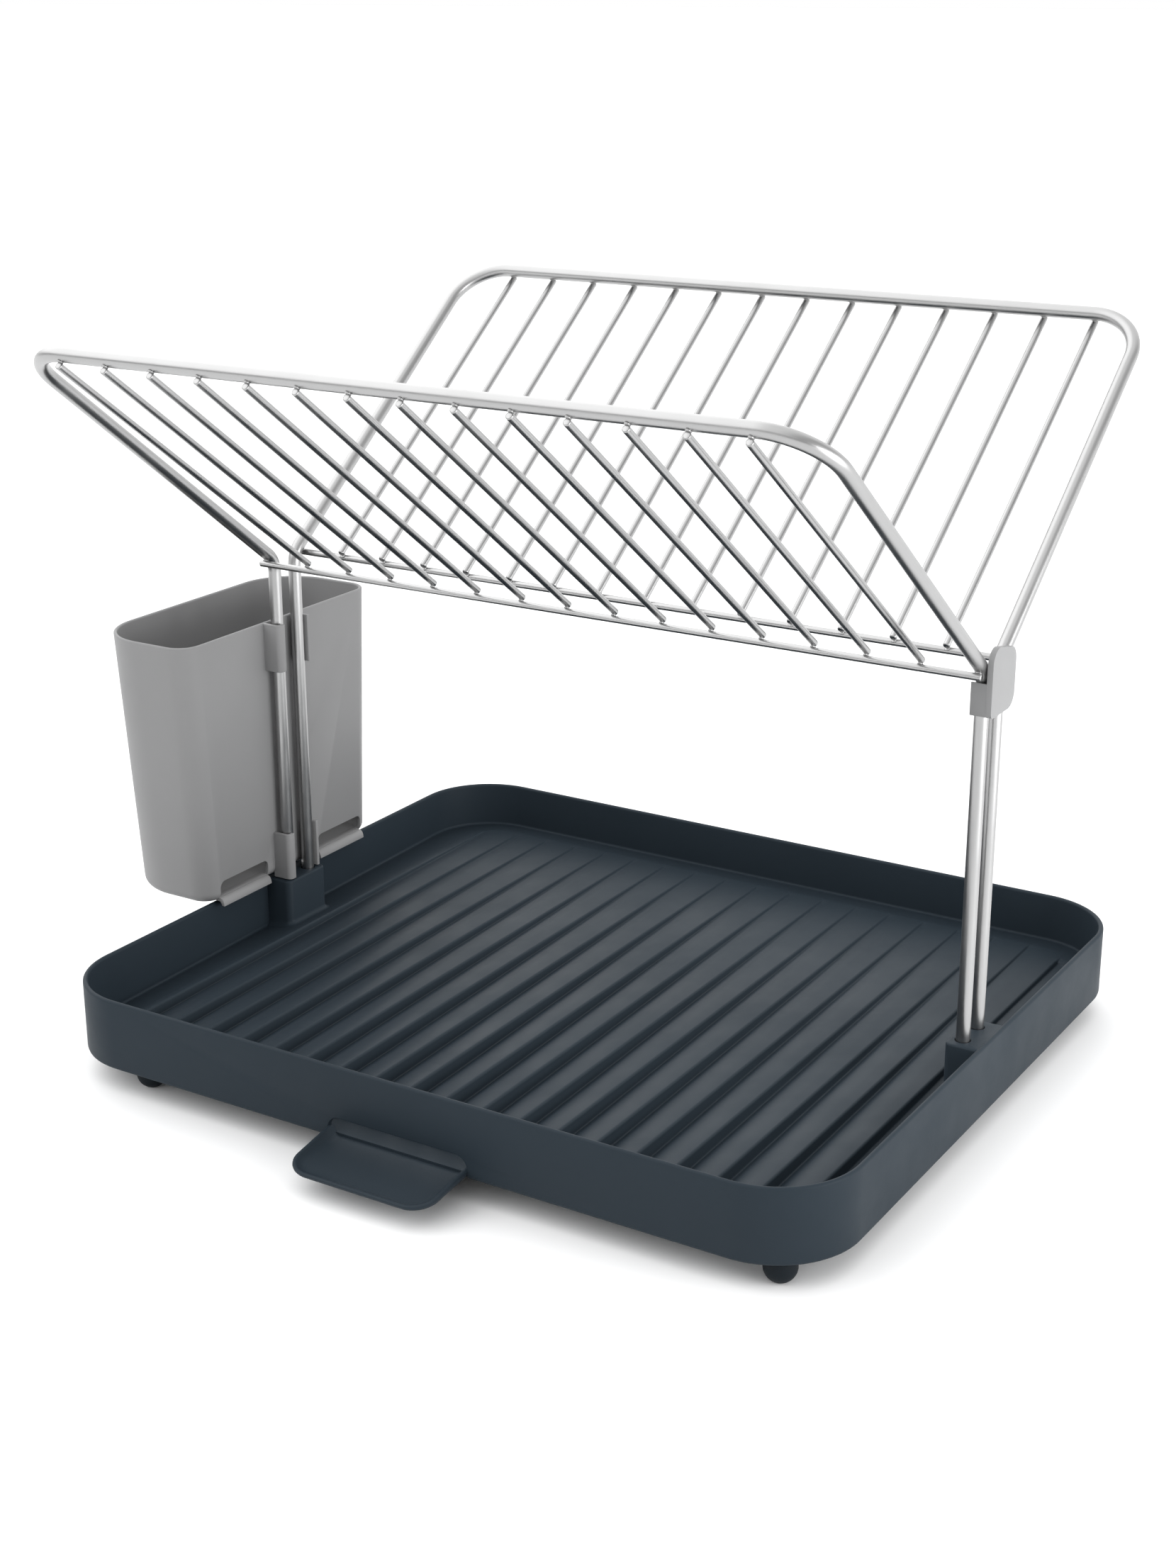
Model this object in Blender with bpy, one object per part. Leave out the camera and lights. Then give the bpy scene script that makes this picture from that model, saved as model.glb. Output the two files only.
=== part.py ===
"""Dish drying rack: a rod rack with two leaning plate wings that plugs into a drip tray with a spout,
with a cutlery holder hung on the left-hand legs and a clip pushed over the right-hand legs.

Metres, +Z up, front (the spout) towards -Y, rest plane at Z = 0. Everything is drawn about the middle
of the tray and carried by one empty, which puts the world origin under the middle of the whole box."""

import math

import bmesh
import bpy
from mathutils import Vector

MM = 0.001

# Where the middle of the tray sits in the world
TRAY_MIDDLE = (32.5 * MM, 18.79 * MM, 0.0)

# Drip tray
TRAY_LENGTH = 470.0 * MM
TRAY_DEPTH = 409.0 * MM
TRAY_CORNER = 46.7 * MM
WALL_BOTTOM = 13.5 * MM
RIM_TOP = 54.5 * MM
WALL = 3.0 * MM
SHEET = 2.5 * MM

# Ribbed floor: the crests are level, and the grooves deepen towards the front, most in the middle
RIBS = 19
RIB_PITCH = 22.81 * MM
FIRST_EDGE = -204.5 * MM
CREST = 27.7 * MM
CREST_WIDTH = 2.2 * MM
RIB_STEEP = 0.9 * MM
RIB_BACK = 180.0 * MM
END_RIB_BACK = 171.0 * MM
RIB_FADE = 7.0 * MM
RIB_FRONT = 185.0 * MM
GROOVE_START = 0.8 * MM
FALL_MIDDLE = 0.024
FALL_SIDE = 0.0172
RAMP_LEAST = 6.5 * MM
RAMP_GROWTH = 1.85
RAMP_MOST = 20.2 * MM
RAMP_KNEE = (0.45, 0.362)
SHEET_SHIFT = 1.8 * MM

# The strip of floor round the ribs falls to the foot of the wall
FOOT_DROP = 4.4 * MM
FOOT_FALL = 0.0138
SIDE_STRIP = 25.3 * MM
BACK_STRIP = 14.5 * MM
GUTTER_TOP = 17.2 * MM
GUTTER_FLOOR = 16.2 * MM
GUTTER_START = 190.5 * MM

# Sockets moulded on the tray for the rack's legs
SOCKET_INNER = 214.5 * MM
SOCKET_HALF = 18.0 * MM
SOCKET_TOP = 54.3 * MM
SOCKET_ROUND = 4.0 * MM
SOCKET_EASE = 0.8 * MM
SOCKET_BOTTOM = 16.5 * MM
HOLE_RADIUS = 4.1 * MM
HOLE_BOTTOM = 20.5 * MM

# Spout and the opening it passes through
OPENING_HALF = 43.0 * MM
OPENING_TOP = 25.3 * MM
OPENING_BOTTOM = 9.0 * MM
OPENING_BACK = 198.5 * MM
OPENING_ROUND = 7.0 * MM
SPOUT_HALF = 43.5 * MM
SPOUT_FRONT = 242.5 * MM
SPOUT_LOFT_BACK = 186.0 * MM
SPOUT_TAIL = 197.0 * MM
SPOUT_RIM_BACK = 201.3 * MM
SPOUT_TAIL_TOP = 15.9 * MM
SPOUT_CORNER = 14.0 * MM
SPOUT_SHEET = 2.3 * MM
RIM_AT_WALL = 19.6 * MM
RIM_AT_LIP = 13.2 * MM
FLOOR_AT_WALL = 14.6 * MM
FLOOR_AT_LIP = 11.6 * MM

# Feet and the pads they are pressed on
FOOT_RADIUS = 8.5 * MM
FOOT_TOP = 13.2 * MM
FOOT_FLAT = 3.0 * MM
FOOT_LEFT_X = -178.0 * MM
FOOT_RIGHT_X = 208.0 * MM
FOOT_Y = 187.0 * MM
PAD_RADIUS = 9.6 * MM
FRONT_PAD_TOP = 15.9 * MM
BACK_PAD_TOP = 25.0 * MM

# Rack frames: one bent rod each, whose four legs stand in two side-by-side pairs
ROD_RADIUS = 3.75 * MM
LEG_X = 221.65 * MM
LEG_Y = 9.25 * MM
LEG_BOTTOM = 21.0 * MM
BEND_Z = 253.5 * MM
RAIL_Y = 200.0 * MM
RAIL_Z = 400.0 * MM
BEND_RADIUS = 15.0 * MM
CORNER_RADIUS = 30.0 * MM

# Plate wires and the cross wire they stand on
WIRE_RADIUS = 1.9 * MM
WIRES = 14
WIRE_PITCH = 29.41 * MM
WIRE_TOP_Y = 204.2 * MM
WIRE_TOP_Z = 395.65 * MM
WIRE_FOOT_Y = 15.0 * MM
WIRE_FOOT_Z = 255.62 * MM
CROSS_Y = 18.0 * MM
CROSS_Z = 252.65 * MM
CROSS_HALF = 224.3 * MM

# Clip over the right-hand legs
CLIP_BACK = 225.8 * MM
CLIP_FACE = 228.8 * MM
CLIP_JAW = 217.4 * MM
CLIP_HALF = 15.0 * MM
CLIP_INSIDE = 13.6 * MM
CLIP_BOTTOM = 230.8 * MM
CLIP_BLOCK_TOP = 248.5 * MM
CLIP_TOP_NEAR = 266.0 * MM
CLIP_TOP_FAR = 263.0 * MM
CLIP_ROUND = 8.0 * MM
CLIP_BEAD = 0.25 * MM

# Cutlery holder
HOLDER_INNER = -227.0 * MM
HOLDER_OUTER = -300.0 * MM
HOLDER_OUTER_LOW = -296.0 * MM
HOLDER_MIDDLE_Y = 2.25 * MM
HOLDER_HALF = 88.0 * MM
HOLDER_HALF_LOW = 79.5 * MM
HOLDER_TOP = 215.5 * MM
HOLDER_BOTTOM = 56.0 * MM
HOLDER_WALL = 2.2 * MM
HOLDER_FLOOR = 58.4 * MM
OUTER_CORNER = 35.0 * MM
INNER_CORNER = 14.0 * MM
BASE_ROUND = 6.0 * MM
SLOT_NEAR = 24.5 * MM
SLOT_FAR = 68.5 * MM
SLOT_TOP = 68.5 * MM
SLOT_ROUND = 4.0 * MM
LIP_LINE = (
    (-234.0 * MM, 58.6 * MM),
    (-234.0 * MM, 56.4 * MM),
    (-228.3 * MM, 56.0 * MM),
    (-226.8 * MM, 53.4 * MM),
    (-224.8 * MM, 53.4 * MM),
    (-225.6 * MM, 57.0 * MM),
    (-227.6 * MM, 58.2 * MM),
)

# Hooks that take the near leg and fins that stop against the far leg
HOOK_GAP = 0.4 * MM
HOOK_SHEET = 2.2 * MM
HOOK_ROUND = 3.0 * MM
HOOK_END_Y = -10.0 * MM
HOOK_ROOT = -228.0 * MM
FIN_END_X = -217.2 * MM
HOOK_BANDS = ((54.9 * MM, 83.9 * MM), (186.4 * MM, 215.2 * MM))

ARC_STEPS = 6
BEND_STEPS = 8
ROD_SIDES = 18
WIRE_SIDES = 12
ROUND_SIDES = 24
SMOOTH_ANGLE = math.radians(35.0)


def clear_scene():
    for old in list(bpy.data.objects):
        bpy.data.objects.remove(old, do_unlink=True)


def make_material(name, colour, metallic, roughness):
    made = bpy.data.materials.new(name)
    made.use_nodes = True
    shader = made.node_tree.nodes["Principled BSDF"]
    shader.inputs["Base Color"].default_value = (*colour, 1.0)
    shader.inputs["Metallic"].default_value = metallic
    shader.inputs["Roughness"].default_value = roughness
    return made


def rounded_box(x0, x1, y0, y1, radii, steps=ARC_STEPS):
    """Counter-clockwise points of a box with its own radius at each corner.

    The radii are those of the corners (x1, y0), (x1, y1), (x0, y1) and (x0, y0)."""
    corners = (
        (x1 - radii[0], y0 + radii[0], -90.0, radii[0]),
        (x1 - radii[1], y1 - radii[1], 0.0, radii[1]),
        (x0 + radii[2], y1 - radii[2], 90.0, radii[2]),
        (x0 + radii[3], y0 + radii[3], 180.0, radii[3]),
    )
    points = []
    for centre_x, centre_y, start, radius in corners:
        for step in range(steps + 1):
            angle = math.radians(start + 90.0 * step / steps)
            points.append((centre_x + radius * math.cos(angle), centre_y + radius * math.sin(angle)))
    return points


def circle(x, y, radius, sides=ROUND_SIDES):
    turns = [2.0 * math.pi * k / sides for k in range(sides)]
    return [(x + radius * math.cos(turn), y + radius * math.sin(turn)) for turn in turns]


def ring_at(outline, z):
    return [Vector((x, y, z)) for x, y in outline]


def loft(rings, closed=False):
    """A solid through rings of equal counts, capped at both ends, or joined round to itself when closed."""
    bm = bmesh.new()
    rows = [[bm.verts.new(point) for point in ring] for ring in rings]
    pairs = list(zip(rows[:-1], rows[1:]))
    if closed:
        pairs.append((rows[-1], rows[0]))
    else:
        bm.faces.new(rows[0])
        bm.faces.new(rows[-1])
    count = len(rows[0])
    for low, high in pairs:
        for i in range(count):
            j = (i + 1) % count
            bm.faces.new((low[i], low[j], high[j], high[i]))
    bmesh.ops.recalc_face_normals(bm, faces=bm.faces)
    return bm


def prism(outline, axis, low, high):
    """An outline pushed out along one axis. Its two numbers are the other two axes, in order."""
    rings = []
    for level in (low, high):
        ring = []
        for first, second in outline:
            place_at = [first, second]
            place_at.insert(axis, level)
            ring.append(Vector(place_at))
        rings.append(ring)
    return loft(rings)


def rod(path, radii, sides):
    """A round rod through the points of a path, whose section is carried round the bends without twist."""
    spans = [(b - a).normalized() for a, b in zip(path[:-1], path[1:])]
    across = spans[0].orthogonal()
    rings = []
    for i, (point, radius) in enumerate(zip(path, radii)):
        along = (spans[max(i - 1, 0)] + spans[min(i, len(spans) - 1)]).normalized()
        across = (across - along * across.dot(along)).normalized()
        other = along.cross(across)
        rings.append([point + across * u + other * v for u, v in circle(0.0, 0.0, radius, sides)])
    return loft(rings)


def straight_wire(start, end):
    """A plate wire or cross wire with eased ends."""
    along = (end - start).normalized()
    shape = ((0.0, 0.55), (0.15, 0.85), (0.5, 1.0))
    path = [start + along * WIRE_RADIUS * share for share, _ in shape]
    path += [end - along * WIRE_RADIUS * share for share, _ in reversed(shape)]
    radii = [WIRE_RADIUS * scale for _, scale in shape]
    return rod(path, radii + radii[::-1], WIRE_SIDES)


def filleted(corners, radii):
    """The corner points joined by straights, with an arc of its own radius at each inner corner."""
    path = [corners[0]]
    for before, corner, after, radius in zip(corners[:-2], corners[1:-1], corners[2:], radii):
        back = (before - corner).normalized()
        ahead = (after - corner).normalized()
        half = back.angle(ahead) / 2.0
        centre = corner + (back + ahead).normalized() * (radius / math.sin(half))
        start = corner + back * (radius / math.tan(half)) - centre
        axis = ahead.cross(back).normalized()
        for step in range(BEND_STEPS + 1):
            angle = (math.pi - 2.0 * half) * step / BEND_STEPS
            path.append(centre + start * math.cos(angle) + axis.cross(start) * math.sin(angle))
    path.append(corners[-1])
    return path


def add_object(bm, name, parent):
    mesh = bpy.data.meshes.new(name)
    bm.to_mesh(mesh)
    bm.free()
    made = bpy.data.objects.new(name, mesh)
    bpy.context.scene.collection.objects.link(made)
    made.parent = parent
    return made


def add_piece(bm, name, material, parent, origin=(0.0, 0.0, 0.0)):
    """One separate piece, with its own origin given in the parent's space."""
    bmesh.ops.translate(bm, verts=bm.verts, vec=-Vector(origin))
    made = add_object(bm, name, parent)
    made.location = origin
    made.data.materials.append(material)
    made.data.shade_smooth()
    made.data.set_sharp_from_angle(angle=SMOOTH_ANGLE)
    return made


def add_helper(bm, name, parent):
    """A body that only shapes another one."""
    made = add_object(bm, name, parent)
    made.hide_render = True
    made.display_type = "WIRE"
    return made


def combine(target, other, operation):
    modifier = target.modifiers.new(f"{operation.lower()} {other.name}", "BOOLEAN")
    modifier.operation = operation
    modifier.solver = "EXACT"
    modifier.object = other


def add_empty(name, parent, location):
    made = bpy.data.objects.new(name, None)
    bpy.context.scene.collection.objects.link(made)
    made.parent = parent
    made.location = location
    return made


def tray_outline(inset):
    half_x = TRAY_LENGTH / 2.0 - inset
    half_y = TRAY_DEPTH / 2.0 - inset
    return rounded_box(-half_x, half_x, -half_y, half_y, (TRAY_CORNER - inset,) * 4, ARC_STEPS + 4)


def tray_wall():
    """The upright wall round the tray, with a rounded rim."""
    round_off = WALL / 2.0
    shoulder = RIM_TOP - round_off
    levels = [(0.0, WALL_BOTTOM), (0.0, shoulder)]
    for degrees in (135.0, 90.0, 45.0):
        angle = math.radians(degrees)
        levels.append((round_off + round_off * math.cos(angle), shoulder + round_off * math.sin(angle)))
    levels.append((WALL, shoulder))
    levels.append((WALL, WALL_BOTTOM))
    return loft([ring_at(tray_outline(inset), z) for inset, z in levels], closed=True)


def groove_depth(x, y):
    """How far the bottom of a groove lies below the crests."""
    outer = abs(FIRST_EDGE) - RIB_PITCH / 2.0
    start = RIB_BACK if abs(x) < outer else END_RIB_BACK
    fall = FALL_MIDDLE + (FALL_SIDE - FALL_MIDDLE) * min(abs(x / FIRST_EDGE), 1.0)
    if y > start:
        return GROOVE_START * max(0.0, 1.0 - (y - start) / RIB_FADE)
    return GROOVE_START + fall * (start - y)


def strip_share(x, y):
    """0 at the foot of the wall, and 1 where the strip beside it is left behind."""
    half_x = TRAY_LENGTH / 2.0 - WALL
    half_y = TRAY_DEPTH / 2.0 - WALL
    radius = TRAY_CORNER - WALL
    over_x = abs(x) - half_x + radius
    over_y = y - half_y + radius
    if over_x > 0.0 and over_y > 0.0:
        reach = math.hypot(over_x, over_y)
        sideways = (over_x / reach) ** 2
        width = BACK_STRIP + (SIDE_STRIP - BACK_STRIP) * sideways
        return min(max((radius - reach) / width, 0.0), 1.0)
    share = min((half_x - abs(x)) / SIDE_STRIP, (half_y - y) / BACK_STRIP)
    return min(max(share, 0.0), 1.0)


def floor_row(y):
    """The floor's upper line at one y, as (x, z) points. Every row has as many points as the others."""
    reached = max(y, -RIB_FRONT)
    half = TRAY_LENGTH / 2.0 - WALL
    strip = half + FIRST_EDGE - CREST_WIDTH
    row = [(-half - WALL / 2.0, 0.0)]
    row += [(-half + strip * share, 0.0) for share in (0.0, 0.33, 0.67, 1.0)]
    for rib in range(RIBS):
        edge = FIRST_EDGE + rib * RIB_PITCH
        depth = groove_depth(edge, reached)
        row += [(edge, 0.0), (edge + RIB_STEEP, depth)]
        if rib < RIBS - 1:
            ramp = min(RAMP_LEAST + RAMP_GROWTH * depth, RAMP_MOST)
            row.append((edge + RIB_STEEP + ramp * RAMP_KNEE[0], depth * RAMP_KNEE[1]))
            row.append((edge + RIB_STEEP + ramp, 0.0))
    channel = half - row[-1][0]
    row += [(half - channel * share, depth) for share in (0.67, 0.33, 0.0)]
    row.append((half + WALL / 2.0, depth))
    wall_foot = CREST - FOOT_DROP + FOOT_FALL * min(reached, TRAY_DEPTH / 2.0)
    line = []
    for x, below in row:
        z = wall_foot + (CREST - below - wall_foot) * strip_share(x, reached)
        if y < -RIB_FRONT:
            share = min((-RIB_FRONT - y) / (GUTTER_START - RIB_FRONT), 1.0)
            fall = (-GUTTER_START - y) / (TRAY_DEPTH / 2.0 - WALL - GUTTER_START)
            gutter = GUTTER_TOP + (GUTTER_FLOOR - GUTTER_TOP) * min(max(fall, 0.0), 1.0)
            z += (gutter - z) * share
        line.append((x, z))
    return line


def ribbed_floor():
    """The whole floor in one sheet, whose underside is shifted so that the steep faces keep their thickness."""
    wall = TRAY_DEPTH / 2.0 - WALL
    straight = TRAY_DEPTH / 2.0 - TRAY_CORNER
    rows = [wall + WALL / 2.0, wall, wall - BACK_STRIP / 3.0, wall - BACK_STRIP / 1.5, wall - BACK_STRIP]
    rows += [RIB_BACK + RIB_FADE / 2.0, RIB_BACK, END_RIB_BACK, straight, 90.0 * MM, 0.0, -90.0 * MM]
    rows += [-RIB_FRONT, -GUTTER_START, -wall, -wall - WALL / 2.0]
    rings = []
    for y in reversed(rows):
        line = floor_row(y)
        ends = (0, 1, len(line) - 2, len(line) - 1)
        under = []
        for number, (x, z) in enumerate(line):
            shift = 0.0 if number in ends else SHEET_SHIFT
            under.append((x - shift, z - SHEET))
        rings.append([Vector((x, y, z)) for x, z in line + under[::-1]])
    floor = loft(rings)
    bmesh.ops.triangulate(floor, faces=floor.faces)
    return floor


def socket(side):
    """A block that stands against one side wall, with its free edges eased."""
    wall = (TRAY_LENGTH - WALL) / 2.0
    square = 0.2 * MM
    radii = (square, square, SOCKET_ROUND, SOCKET_ROUND)
    body = rounded_box(SOCKET_INNER, wall, -SOCKET_HALF, SOCKET_HALF, radii)
    radii = (square, square, SOCKET_ROUND - SOCKET_EASE, SOCKET_ROUND - SOCKET_EASE)
    half = SOCKET_HALF - SOCKET_EASE
    cap = rounded_box(SOCKET_INNER + SOCKET_EASE, wall, -half, half, radii)
    levels = ((body, SOCKET_BOTTOM), (body, SOCKET_TOP - SOCKET_EASE), (cap, SOCKET_TOP))
    return loft([ring_at([(side * x, y) for x, y in outline], z) for outline, z in levels])


def spout_ring(inset, share, drop):
    """One ring of the spout. The share runs from its floor to its rim, both of which fall towards the lip."""
    corner = max(SPOUT_CORNER - inset, 2.0 * MM)
    half = SPOUT_HALF - inset
    radii = (corner, 2.0 * MM, 2.0 * MM, corner)
    wall = TRAY_DEPTH / 2.0
    ring = []
    for x, y in rounded_box(-half, half, -SPOUT_FRONT + inset, -SPOUT_LOFT_BACK - inset, radii):
        run = (-wall - y) / (SPOUT_FRONT - wall)
        floor = FLOOR_AT_WALL + (FLOOR_AT_LIP - FLOOR_AT_WALL) * run
        rim = RIM_AT_WALL + (RIM_AT_LIP - RIM_AT_WALL) * run
        ring.append(Vector((x, y, floor + (rim - floor) * share - drop)))
    return ring


def spout_loft():
    """A shallow scoop, from its underside round the rim to its floor."""
    shape = (
        (6.0 * MM, 0.0, SPOUT_SHEET),
        (2.6 * MM, 0.05, 0.8 * SPOUT_SHEET),
        (0.7 * MM, 0.35, 0.5 * SPOUT_SHEET),
        (0.0, 0.85, 0.2 * MM),
        (0.5 * MM, 1.0, 0.0),
        (1.6 * MM, 1.0, 0.0),
        (2.4 * MM, 0.75, 0.0),
        (4.2 * MM, 0.2, 0.0),
        (7.5 * MM, 0.0, 0.0),
    )
    return loft([spout_ring(*row) for row in shape])


def add_spout(tray, parent):
    """Opens the front wall and joins the scoop to the tray there."""
    square = 0.3 * MM
    radii = (square, OPENING_ROUND, OPENING_ROUND, square)
    opening = rounded_box(-OPENING_HALF, OPENING_HALF, OPENING_BOTTOM, OPENING_TOP, radii)
    passage = prism(opening, 1, -TRAY_DEPTH / 2.0 - WALL, -OPENING_BACK)
    combine(tray, add_helper(passage, "opening", parent), "DIFFERENCE")
    scoop = add_helper(spout_loft(), "scoop", parent)
    wide = SPOUT_HALF + WALL
    tail = [(-wide, 0.0), (wide, 0.0), (wide, RIM_TOP), (-wide, RIM_TOP)]
    cut = prism(tail, 1, -SPOUT_TAIL, -RIB_FRONT)
    combine(scoop, add_helper(cut, "tail cut", parent), "DIFFERENCE")
    step = [(x, max(z, SPOUT_TAIL_TOP)) for x, z in tail]
    cut = prism(step, 1, -SPOUT_RIM_BACK, -RIB_FRONT)
    combine(scoop, add_helper(cut, "tail step", parent), "DIFFERENCE")
    combine(tray, scoop, "UNION")


def build_tray(material, parent):
    tray = add_piece(tray_wall(), "tray", material, parent)
    inside = [ring_at(tray_outline(WALL / 2.0), z) for z in (0.0, RIM_TOP)]
    keep = add_helper(loft(inside), "inside of wall", parent)
    floor = add_helper(ribbed_floor(), "ribbed floor", parent)
    combine(floor, keep, "INTERSECT")
    combine(tray, floor, "UNION")
    for side, name, foot_x in ((-1.0, "left", FOOT_LEFT_X), (1.0, "right", FOOT_RIGHT_X)):
        combine(tray, add_helper(socket(side), f"{name} socket", parent), "UNION")
        for leg_y in (-LEG_Y, LEG_Y):
            hole = circle(side * LEG_X, leg_y, HOLE_RADIUS)
            bore = loft([ring_at(hole, HOLE_BOTTOM), ring_at(hole, RIM_TOP + WALL)])
            combine(tray, add_helper(bore, f"{name} leg hole {leg_y:+.3f}", parent), "DIFFERENCE")
        for foot_y, pad_top in ((-FOOT_Y, FRONT_PAD_TOP), (FOOT_Y, BACK_PAD_TOP)):
            outline = circle(foot_x, foot_y, PAD_RADIUS)
            pad = loft([ring_at(outline, WALL_BOTTOM), ring_at(outline, pad_top)])
            combine(tray, add_helper(pad, f"{name} pad {foot_y:+.3f}", parent), "UNION")
    add_spout(tray, parent)


def foot():
    """A domed button with a small flat where it rests."""
    start = math.asin(FOOT_FLAT / FOOT_RADIUS)
    sink = FOOT_RADIUS * math.cos(start)
    levels = []
    for step in range(ARC_STEPS + 1):
        angle = start + (math.pi / 2.0 - start) * step / ARC_STEPS
        levels.append((FOOT_RADIUS * math.sin(angle), sink - FOOT_RADIUS * math.cos(angle)))
    levels.append((FOOT_RADIUS, FOOT_TOP))
    return loft([ring_at(circle(0.0, 0.0, radius), z) for radius, z in levels])


def build_feet(material, parent):
    for depth, y in (("front", -FOOT_Y), ("back", FOOT_Y)):
        for side, x in (("left", FOOT_LEFT_X), ("right", FOOT_RIGHT_X)):
            made = add_piece(foot(), f"foot_{depth}_{side}", material, parent)
            made.location = (x, y, 0.0)


def frame_rod(side):
    """Leg, bend, leaning bar, corner and top rail, then the same down to the other leg."""
    corners = [
        Vector((-LEG_X, side * LEG_Y, LEG_BOTTOM)),
        Vector((-LEG_X, side * LEG_Y, BEND_Z)),
        Vector((-LEG_X, side * RAIL_Y, RAIL_Z)),
        Vector((LEG_X, side * RAIL_Y, RAIL_Z)),
        Vector((LEG_X, side * LEG_Y, BEND_Z)),
        Vector((LEG_X, side * LEG_Y, LEG_BOTTOM)),
    ]
    path = filleted(corners, (BEND_RADIUS, CORNER_RADIUS, CORNER_RADIUS, BEND_RADIUS))
    return rod(path, [ROD_RADIUS] * len(path), ROD_SIDES)


def build_rack(frame_steel, wire_steel, parent):
    for name, side in (("front", -1.0), ("back", 1.0)):
        add_piece(frame_rod(side), f"{name}_frame", frame_steel, parent, (0.0, side * LEG_Y, BEND_Z))
        ends = [Vector((x, side * CROSS_Y, CROSS_Z)) for x in (-CROSS_HALF, CROSS_HALF)]
        cross = straight_wire(*ends)
        add_piece(cross, f"{name}_cross_wire", wire_steel, parent, (0.0, side * CROSS_Y, CROSS_Z))
        for number in range(WIRES):
            x = WIRE_PITCH * (number - (WIRES - 1) / 2.0)
            low = Vector((x, side * WIRE_FOOT_Y, WIRE_FOOT_Z))
            high = Vector((x, side * WIRE_TOP_Y, WIRE_TOP_Z))
            add_piece(straight_wire(low, high), f"{name}_wire_{number + 1:02d}", wire_steel, parent, low)


def build_clip(material, parent):
    """A plate across both legs with two jaws that reach back beside them."""
    low = 3.0 * MM
    outline = []
    corners = (
        (-CLIP_HALF + low, CLIP_BOTTOM + low, 180.0, low),
        (CLIP_HALF - CLIP_ROUND, CLIP_BOTTOM + CLIP_ROUND, 270.0, CLIP_ROUND),
        (CLIP_HALF - CLIP_ROUND, CLIP_TOP_FAR - CLIP_ROUND, 0.0, CLIP_ROUND),
        (-CLIP_HALF + CLIP_ROUND, CLIP_TOP_NEAR - CLIP_ROUND, 90.0, CLIP_ROUND),
    )
    for y, z, start, radius in corners:
        for step in range(ARC_STEPS + 1):
            angle = math.radians(start + 90.0 * step / ARC_STEPS)
            outline.append((y + radius * math.cos(angle), z + radius * math.sin(angle)))
    ease = 0.6 * MM
    middle_z = (CLIP_BOTTOM + CLIP_TOP_FAR) / 2.0
    shrink_y = (CLIP_HALF - ease) / CLIP_HALF
    shrink_z = (middle_z - CLIP_BOTTOM - ease) / (middle_z - CLIP_BOTTOM)
    face = [(y * shrink_y, middle_z + (z - middle_z) * shrink_z) for y, z in outline]
    levels = ((outline, CLIP_BACK), (outline, CLIP_FACE - ease), (face, CLIP_FACE))
    origin = (LEG_X, 0.0, CLIP_BLOCK_TOP)
    plate = loft([[Vector((x, y, z)) for y, z in line] for line, x in levels])
    clip = add_piece(plate, "clip", material, parent, origin)
    root = CLIP_FACE - 2.0 * ease
    for name, side in (("near", -1.0), ("far", 1.0)):
        wall = [
            (root, CLIP_INSIDE),
            (CLIP_JAW + 2.0 * MM, CLIP_INSIDE),
            (CLIP_JAW + 1.0 * MM, CLIP_INSIDE - CLIP_BEAD),
            (CLIP_JAW, CLIP_INSIDE),
            (CLIP_JAW, CLIP_HALF - 2.0 * CLIP_BEAD),
            (CLIP_JAW + 0.5 * MM, CLIP_HALF - CLIP_BEAD / 2.0),
            (root, CLIP_HALF - CLIP_BEAD / 2.0),
        ]
        bottom = CLIP_BOTTOM + (low if side < 0 else CLIP_ROUND) * 0.3
        rings = [[Vector((x, side * y, z)) for x, y in wall] for z in (bottom, CLIP_BLOCK_TOP)]
        jaw = loft(rings)
        bmesh.ops.translate(jaw, verts=jaw.verts, vec=-Vector(origin))
        helper = add_helper(jaw, f"{name} jaw", parent)
        helper.location = origin
        combine(clip, helper, "UNION")


def holder_ring(z, inset):
    """One ring of the tapering holder, drawn in from its outside by the inset."""
    rise = (z - HOLDER_BOTTOM) / (HOLDER_TOP - HOLDER_BOTTOM)
    half = HOLDER_HALF_LOW + (HOLDER_HALF - HOLDER_HALF_LOW) * rise - inset
    outer = HOLDER_OUTER_LOW + (HOLDER_OUTER - HOLDER_OUTER_LOW) * rise + inset
    radii = (INNER_CORNER - inset,) * 2 + (OUTER_CORNER - inset,) * 2
    y0 = HOLDER_MIDDLE_Y - half
    y1 = HOLDER_MIDDLE_Y + half
    return ring_at(rounded_box(outer, HOLDER_INNER - inset, y0, y1, radii), z)


def holder_shell():
    """The holder's wall and floor in one sheet: up its outside, over the rim and down its inside."""
    rings = []
    quarter = [math.radians(degrees) for degrees in (0.0, 30.0, 60.0, 90.0)]
    for angle in quarter:
        z = HOLDER_BOTTOM + BASE_ROUND * (1.0 - math.cos(angle))
        rings.append(holder_ring(z, BASE_ROUND * (1.0 - math.sin(angle))))
    half = HOLDER_WALL / 2.0
    for degrees in (180.0, 135.0, 90.0, 45.0, 0.0):
        angle = math.radians(degrees)
        rings.append(holder_ring(HOLDER_TOP - half + half * math.sin(angle), half + half * math.cos(angle)))
    inner_round = BASE_ROUND - HOLDER_WALL
    for angle in reversed(quarter):
        z = HOLDER_FLOOR + inner_round * (1.0 - math.cos(angle))
        rings.append(holder_ring(z, HOLDER_WALL + inner_round * (1.0 - math.sin(angle))))
    return loft(rings)


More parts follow.
